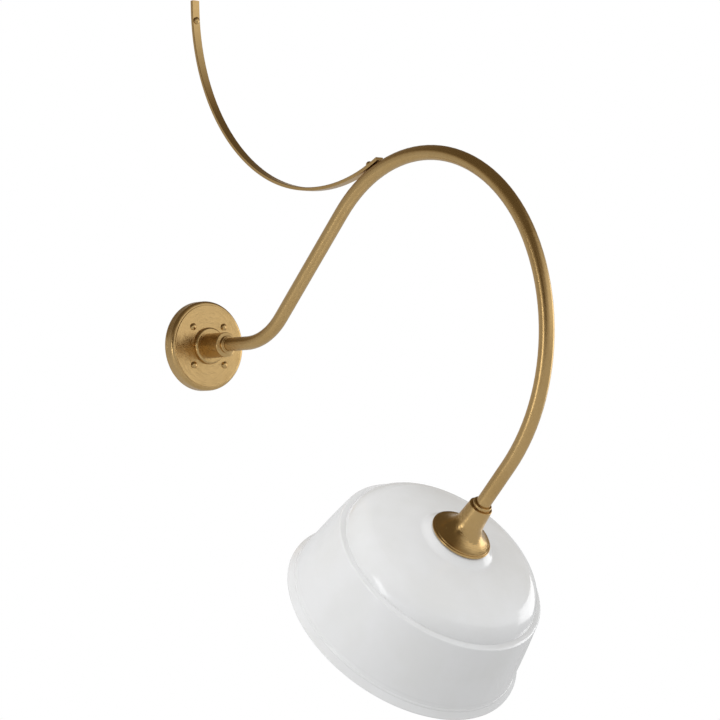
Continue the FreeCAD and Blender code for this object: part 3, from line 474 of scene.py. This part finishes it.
def polished_brass(name):
    """Brass of the small screw heads, tumbled bright."""
    look = bpy.context.scene.sconce_finish
    finish = Finish(name, Metallic=1.0)
    marks = finish.noise(finish.place, spacing=0.0009, detail=3.0)
    finish.feed("Base Color", finish.mixed(finish.fade(marks, 0.4, 0.7, 0, 0.5),
                                           (*look.brass, 1), (*look.brass_shade, 1)))
    finish.feed("Roughness", 0.08 + marks * 0.10)
    finish.feed("Normal", finish.bump(marks, 0.00003, 0.5))
    return finish.material


class SCONCE_OT_brass(bpy.types.Operator):
    """Finish the wall plate, hub, arm, stay and bell in satin brass"""

    bl_idname = "sconce.brass"
    bl_label = "Satin Brass"

    def execute(self, context):
        plate = turned_brass("plate_brass", (0, 0, 0), OFF_WALL)
        dress(plate, "backplate", "hub_base_ring", "hub_body", "hub_collar")
        bell = turned_brass("bell_brass", RIM_CENTRE, LAMP_UP)
        dress(bell, "bell_holder", "neck_ring")
        dress(cross_brushed_brass("arm_brass"), "arm_tube")
        dress(drawn_brass("stay_brass"), "strap")
        dress(polished_brass("screw_brass"), "backplate_screws", "strap_wall_screw", "strap_arm_screw",
              "strap_arm_washer")
        return {"FINISHED"}


# ---- Enamelled shade -------------------------------------------------------------
def enamel():
    look = bpy.context.scene.sconce_finish
    finish = Finish("shade_enamel", IOR=1.52, Coat_Roughness=0.06, Coat_IOR=1.5)
    radius, height, outward, _ = finish.round_axis(RIM_CENTRE, LAMP_UP)
    clouds = finish.noise(finish.place, spacing=0.06, detail=3.0)
    ripple = finish.noise(finish.place, spacing=0.006, detail=2.0)
    lines = finish.scaled(LAMP_UP, (radius + 0.83 * height) * (1 / 0.0022))
    spinning = finish.noise(finish.vector("ADD", lines, finish.scaled(outward, 1.5)), 1.0, 1.0)
    warm = tuple(part * tint for part, tint in zip(look.enamel, (0.975, 0.975, 0.965)))
    finish.feed("Base Color", finish.mixed(finish.fade(clouds, 0.35, 0.7), (*look.enamel, 1), (*warm, 1)))
    finish.feed("Roughness", look.enamel_roughness + (ripple - 0.5) * 0.06 + (clouds - 0.5) * 0.04)
    finish.feed("Coat Weight", finish.fade(clouds, 0.3, 0.7, 0.5, 0.7))
    peel = finish.bump(ripple, 0.00006)
    finish.feed("Normal", finish.bump(spinning, 0.00003, 1.0, peel))
    return finish.material


class SCONCE_OT_enamel(bpy.types.Operator):
    """Finish the spun shade in white enamel"""

    bl_idname = "sconce.enamel"
    bl_label = "White Enamel"

    def execute(self, context):
        dress(enamel(), "shade")
        return {"FINISHED"}


# ---- Steel fixings ---------------------------------------------------------------
def plated_steel(name, tint=(1, 1, 1)):
    """Zinc plated steel with its spangle, passivation tint and rolling lines."""
    look = bpy.context.scene.sconce_finish
    finish = Finish(name, Metallic=1.0)
    plate = tuple(part * share for part, share in zip(look.steel, tint))
    golden = tuple(part * share for part, share in zip(plate, (1.0, 0.93, 0.76)))
    clouds = finish.noise(finish.place, spacing=0.018, detail=4.0, roughness=0.6)
    spangle = finish.node("ShaderNodeTexVoronoi", {"feature": "F1"},
                          {"Vector": finish.place, "Scale": 420.0}, "Color")
    grey = finish.node("ShaderNodeRGBToBW", None, {"Color": spangle})
    lines = finish.noise(finish.vector("MULTIPLY", finish.place, (0.05, 1, 1)), 0.0004, 2.0)
    tinted = finish.fade(clouds, 0.42, 0.62, 0, 0.8)
    finish.feed("Base Color", finish.mixed(tinted, (*plate, 1), (*golden, 1)))
    finish.feed("Roughness", 0.27 + grey * 0.16 + (lines - 0.5) * 0.10)
    finish.feed("Normal", finish.bump(lines, 0.00002, 0.6))
    return finish.material


class SCONCE_OT_fixings(bpy.types.Operator):
    """Finish the bracket, posts, nuts and other steel fixings"""

    bl_idname = "sconce.fixings"
    bl_label = "Steel Fixings"

    def execute(self, context):
        steel = plated_steel("plated_steel")
        dress(steel, "mounting_bracket", "bracket_posts", "hub_locknut", "nipple", "nipple_nut",
              "hub_set_screw")
        toothed_washer(steel)
        dress(plated_steel("green_ground_screw", (0.12, 0.62, 0.22)), "ground_screw")
        return {"FINISHED"}


# ---- Lampholder ------------------------------------------------------------------
def glazed_porcelain():
    look = bpy.context.scene.sconce_finish
    finish = Finish("glazed_porcelain", IOR=1.5, Coat_Roughness=0.05, Coat_IOR=1.5)
    clouds = finish.noise(finish.place, spacing=0.012, detail=3.0)
    specks = finish.node("ShaderNodeTexVoronoi", {"feature": "F1"},
                         {"Vector": finish.place, "Scale": 900.0}, "Distance")
    speck = finish.fade(specks, 0.10, 0.04)
    body = finish.mixed(finish.fade(clouds, 0.35, 0.7), (*look.porcelain, 1), (0.74, 0.71, 0.63, 1))
    finish.feed("Base Color", finish.mixed(speck * 0.5, body, (0.35, 0.27, 0.18, 1)))
    finish.feed("Roughness", 0.16 + clouds * 0.10)
    finish.feed("Coat Weight", finish.fade(clouds, 0.3, 0.7, 0.6, 0.9))
    finish.feed("Normal", finish.bump(clouds, 0.0001, 0.7))
    return finish.material


def moulded_phenolic():
    look = bpy.context.scene.sconce_finish
    finish = Finish("moulded_phenolic", IOR=1.55)
    flow = finish.noise(finish.place, spacing=0.009, detail=4.0, roughness=0.6)
    grain = finish.noise(finish.place, spacing=0.0005, detail=2.0)
    finish.feed("Base Color", finish.mixed(finish.fade(flow, 0.4, 0.7), (*look.phenolic, 1),
                                           (0.045, 0.034, 0.028, 1)))
    finish.feed("Roughness", 0.30 + flow * 0.15 + (grain - 0.5) * 0.12)
    finish.feed("Normal", finish.bump(grain, 0.00003, 0.6))
    return finish.material


def contact_brass():
    look = bpy.context.scene.sconce_finish
    finish = Finish("contact_brass", Metallic=1.0)
    tarnish = finish.noise(finish.place, spacing=0.006, detail=4.0, roughness=0.65)
    lines = finish.noise(finish.vector("MULTIPLY", finish.place, (1, 0.06, 1)), 0.0003, 2.0)
    finish.feed("Base Color", finish.mixed(finish.fade(tarnish, 0.45, 0.7), (*look.contact, 1),
                                           (0.36, 0.20, 0.08, 1)))
    finish.feed("Roughness", 0.20 + tarnish * 0.22)
    finish.feed("Normal", finish.bump(lines, 0.00002, 0.5))
    return finish.material


class SCONCE_OT_lampholder(bpy.types.Operator):
    """Finish the lampholder, its contacts and the shade ring"""

    bl_idname = "sconce.lampholder"
    bl_label = "Lampholder"

    def execute(self, context):
        threaded_holder(glazed_porcelain())
        dress(moulded_phenolic(), "lampholder_cap", "shade_ring")
        bare = contact_brass()
        threaded_shell(bare)
        dress(bare, "centre_contact", "terminal_plates", "terminal_screws",
              "arm_end_bush", "strap_thread_insert", "ground_lug")
        return {"FINISHED"}


# ---- Lamp ------------------------------------------------------------------------
def opal_glass():
    look = bpy.context.scene.sconce_finish
    finish = Finish("opal_glass", IOR=1.5, Subsurface_Weight=0.15, Subsurface_Scale=0.004,
                    Coat_Roughness=0.03, Coat_IOR=1.5)
    clouds = finish.noise(finish.place, spacing=0.02, detail=3.0)
    finish.feed("Base Color", finish.mixed(finish.fade(clouds, 0.35, 0.7), (*look.opal, 1),
                                           (0.84, 0.835, 0.80, 1)))
    finish.feed("Roughness", 0.20 + clouds * 0.10)
    finish.feed("Coat Weight", finish.fade(clouds, 0.3, 0.7, 0.7, 0.9))
    finish.feed("Normal", finish.bump(clouds, 0.0001, 0.5))
    return finish.material


def cap_aluminium():
    look = bpy.context.scene.sconce_finish
    finish = Finish("cap_aluminium", Metallic=1.0)
    _, height, _, _ = finish.round_axis(RIM_CENTRE, LAMP_UP)
    rolled = finish.noise(finish.scaled(LAMP_UP, height * 2500.0), 1.0, 2.0)
    marks = finish.noise(finish.place, spacing=0.003, detail=4.0, roughness=0.6)
    finish.feed("Base Color", finish.mixed(finish.fade(marks, 0.45, 0.7), (*look.aluminium, 1),
                                           (0.60, 0.60, 0.59, 1)))
    finish.feed("Roughness", 0.26 + marks * 0.16)
    finish.feed("Normal", finish.bump(rolled, 0.00003, 0.5))
    return finish.material


class SCONCE_OT_lamp(bpy.types.Operator):
    """Finish the lamp's glass, cap and tip"""

    bl_idname = "sconce.lamp"
    bl_label = "Lamp"

    def execute(self, context):
        dress(opal_glass(), "bulb_glass")
        bare = cap_aluminium()
        lamp_cap(bare)
        dress(bare, "bulb_tip")
        return {"FINISHED"}


# ---- Wiring ----------------------------------------------------------------------
def wire_cover(name, colour, worn):
    finish = Finish(name, IOR=1.53)
    wear = finish.noise(finish.place, spacing=0.008, detail=3.0)
    grain = finish.noise(finish.place, spacing=0.0006, detail=2.0)
    finish.feed("Base Color", finish.mixed(finish.fade(wear, 0.42, 0.68), (*colour, 1), (*worn, 1)))
    finish.feed("Roughness", 0.34 + wear * 0.12 + (grain - 0.5) * 0.10)
    finish.feed("Normal", finish.bump(grain, 0.00003, 0.6))
    return finish.material


def foam():
    look = bpy.context.scene.sconce_finish
    finish = Finish("gasket_foam", Specular_IOR_Level=0.25)
    pores = finish.node("ShaderNodeTexVoronoi", {"feature": "F1"},
                        {"Vector": finish.place, "Scale": 1300.0}, "Distance")
    cell = finish.fade(pores, 0.05, 0.45)
    # The pores are coloured darker than the foam round them: painted shade in the hollows, on top of the pits
    # that the bump gives them.
    finish.feed("Base Color", finish.mixed(cell, (0.006, 0.006, 0.006, 1), (*look.foam, 1)))
    finish.feed("Roughness", 0.85 + cell * 0.12)
    finish.feed("Normal", finish.bump(cell, 0.0003, 0.8))
    return finish.material


class SCONCE_OT_wiring(bpy.types.Operator):
    """Finish the wires, their connectors and the wall gasket"""

    bl_idname = "sconce.wiring"
    bl_label = "Wiring"

    def execute(self, context):
        look = context.scene.sconce_finish
        dress(wire_cover("live_cover", look.live_cover, (0.03, 0.03, 0.03)), "live_wire")
        dress(wire_cover("neutral_cover", look.neutral_cover, (0.70, 0.69, 0.64)), "neutral_wire")
        dress(wire_cover("ground_cover", look.ground_cover, (0.03, 0.15, 0.05)), "ground_wire")
        plastic = wire_cover("connector_plastic", look.connector, (0.66, 0.14, 0.03))
        for number, (mouth, heading) in enumerate(CONNECTORS, 1):
            fluted_connector(number, mouth, heading, plastic)
        dress(foam(), "backplate_gasket")
        return {"FINISHED"}


# ---- Studio ----------------------------------------------------------------------
CAMERA_PLACE = Vector((-1.86815, -2.47331, -0.11617))
CAMERA_RIGHT = Vector((0.75228677, -0.65841715, -0.02348341))
CAMERA_UP = Vector((-0.00182829, -0.03772995, 0.9992863))

# Middle of the light's reach, which the softboxes face and the floor lies under.
STAGE_CENTRE = Vector((0, -0.3, 0))

# Softboxes: name, bearing from the wall's front in degrees, elevation, distance, width,
# height, brightness. A bearing of -90 is the wall light's left.
SOFTBOXES = (
    ("left_strip", -86.0, -15.0, 2.2, 0.5, 1.9, 2.3),
    ("right_panel", 78.0, -6.0, 2.6, 1.5, 1.8, 1.5),
    ("left_fill", -100.0, 25.0, 2.6, 2.0, 2.0, 0.9),
    ("top_panel", -20.0, 62.0, 2.4, 2.0, 2.0, 0.8),
)
SEEN_SOFTBOXES = ("left_strip", "right_panel")

# Lighter and darker parts of the room that only reflections show: bearing in degrees,
# half their spread, and how much they change the room's brightness.
ROOM_PATCHES = ((-56.0, 30.0, -0.42), (-140.0, 45.0, -0.12), (40.0, 60.0, 0.50), (180.0, 60.0, 0.12))


def softbox(name, bearing, elevation, distance, width, height, brightness):
    turn, lift = math.radians(bearing), math.radians(elevation)
    away = Vector((math.sin(turn) * math.cos(lift), -math.cos(turn) * math.cos(lift), math.sin(lift)))
    light = bpy.data.lights.new(name, "AREA")
    light.shape = "RECTANGLE"
    light.size = width
    light.size_y = height
    light.energy = brightness * math.pi * width * height
    box = bpy.data.objects.new(name, light)
    box.location = STAGE_CENTRE + away * distance
    box.rotation_euler = away.to_track_quat("Z", "Y").to_euler()
    bpy.context.collection.objects.link(box)
    return box


def studio_world(stage):
    """White to the camera. Reflections show a dim room with a darker ceiling."""
    world = bpy.data.worlds.new("studio")
    world.use_nodes = True
    bpy.context.scene.world = world
    sky = NodeTree(world.node_tree)
    heading = sky.node("ShaderNodeTexCoord", output="Generated")
    ray = sky.node("ShaderNodeLightPath", output="Is Camera Ray")
    mirrored = sky.node("ShaderNodeMath", {"operation": "MAXIMUM"},
                        {0: ray.other("Is Glossy Ray"), 1: ray.other("Is Transmission Ray")})
    room = 0.56 - 0.42 * sky.fade(sky.dot(heading, (0, 0, 1)), 0.08, 0.60)
    for bearing, spread, change in ROOM_PATCHES:
        turn = math.radians(bearing)
        nearness = sky.dot(heading, (math.sin(turn), -math.cos(turn), 0))
        patch = sky.fade(nearness, math.cos(math.radians(spread)), math.cos(math.radians(0.3 * spread)))
        room = room + change * patch
    level = stage.daylight + mirrored * (room - stage.daylight)
    level = sky.node("ShaderNodeMath", {"operation": "MAXIMUM"}, {0: level, 1: ray})
    tone = sky.mixed(sky.fade(level, 0.08, 0.60), (1.0, 0.78, 0.48, 1), (*stage.backdrop, 1))
    light = sky.node("ShaderNodeBackground", None, {"Color": tone, "Strength": level})
    sky.node("ShaderNodeOutputWorld", None, {"Surface": light})


def studio_floor(stage):
    """A pale floor that keeps the object's shadow and fades into the backdrop."""
    half = stage.floor_width / 2
    mesh = bpy.data.meshes.new("floor")
    signs = ((-1, -1), (1, -1), (1, 1), (-1, 1))
    corners = [(x * half, y * half + STAGE_CENTRE.y, stage.floor_height) for x, y in signs]
    mesh.from_pydata(corners, [], [(0, 1, 2, 3)])
    floor = bpy.data.objects.new("floor", mesh)
    bpy.context.collection.objects.link(floor)
    material = bpy.data.materials.new("pale_floor")
    material.use_nodes = True
    tree = NodeTree(material.node_tree)
    place = tree.node("ShaderNodeTexCoord", output="Object")
    flat = tree.vector("MULTIPLY", tree.vector("SUBTRACT", place, STAGE_CENTRE), (1, 1, 0))
    far = tree.fade(tree.length(flat), 0.45 * stage.shadow_reach, stage.shadow_reach)
    seen = tree.node("ShaderNodeLightPath", output="Is Camera Ray")
    glow = tree.node("ShaderNodeEmission", None, {"Color": (*stage.backdrop, 1), "Strength": 1.0})
    matt = tree.node("ShaderNodeBsdfDiffuse", None, {"Color": (0.60, 0.60, 0.60, 1)})
    share = seen * (0.55 + 0.45 * far)
    mix = tree.node("ShaderNodeMixShader", None, {0: share, 1: matt, 2: glow})
    tree.node("ShaderNodeOutputMaterial", None, {"Surface": mix})
    mesh.materials.append(material)


def studio_camera(stage):
    camera = bpy.data.cameras.new("studio_camera")
    camera.sensor_fit = "HORIZONTAL"
    camera.sensor_width = 36.0
    camera.lens = stage.focal_length
    camera.clip_start = 0.05
    stand = bpy.data.objects.new("studio_camera", camera)
    bpy.context.collection.objects.link(stand)
    backward = CAMERA_RIGHT.cross(CAMERA_UP)
    turn = Matrix((CAMERA_RIGHT, CAMERA_UP, backward)).transposed()
    stand.matrix_world = Matrix.Translation(CAMERA_PLACE) @ turn.to_4x4()
    bpy.context.scene.camera = stand


class SCONCE_OT_stage(bpy.types.Operator):
    """Build the studio: world, floor, softboxes and camera"""

    bl_idname = "sconce.stage"
    bl_label = "Studio"

    def execute(self, context):
        stage = context.scene.sconce_stage
        context.scene.view_settings.view_transform = "Standard"
        studio_world(stage)
        studio_floor(stage)
        for row in SOFTBOXES:
            box = softbox(*row)
            box.visible_glossy = row[0] in SEEN_SOFTBOXES
        studio_camera(stage)
        return {"FINISHED"}


# ---- Add-on ----------------------------------------------------------------------
STEPS = (SCONCE_OT_stage, SCONCE_OT_brass, SCONCE_OT_enamel, SCONCE_OT_fixings, SCONCE_OT_lampholder,
         SCONCE_OT_lamp, SCONCE_OT_wiring)


class SCONCE_PT_sidebar(bpy.types.Panel):
    """Lists the sconce's steps and settings"""

    bl_idname = "SCONCE_PT_sidebar"
    bl_label = "Sconce"
    bl_space_type = "VIEW_3D"
    bl_region_type = "UI"
    bl_category = "Sconce"

    def draw(self, context):
        for step in STEPS:
            self.layout.operator(step.bl_idname)
        for group in (context.scene.sconce_finish, context.scene.sconce_threads, context.scene.sconce_stage):
            box = self.layout.box()
            for name in group.__annotations__:
                box.prop(group, name)


CLASSES = (SconceFinishSettings, SconceThreadSettings, SconceStageSettings, *STEPS, SCONCE_PT_sidebar)


def register():
    for cls in CLASSES:
        bpy.utils.register_class(cls)
    bpy.types.Scene.sconce_finish = PointerProperty(type=SconceFinishSettings)
    bpy.types.Scene.sconce_threads = PointerProperty(type=SconceThreadSettings)
    bpy.types.Scene.sconce_stage = PointerProperty(type=SconceStageSettings)


def unregister():
    del bpy.types.Scene.sconce_stage
    del bpy.types.Scene.sconce_threads
    del bpy.types.Scene.sconce_finish
    for cls in reversed(CLASSES):
        bpy.utils.unregister_class(cls)


def main():
    register()
    bpy.ops.sconce.stage()
    bpy.ops.sconce.brass()
    bpy.ops.sconce.enamel()
    bpy.ops.sconce.fixings()
    bpy.ops.sconce.lampholder()
    bpy.ops.sconce.lamp()
    bpy.ops.sconce.wiring()


if __name__ == "__main__":
    main()
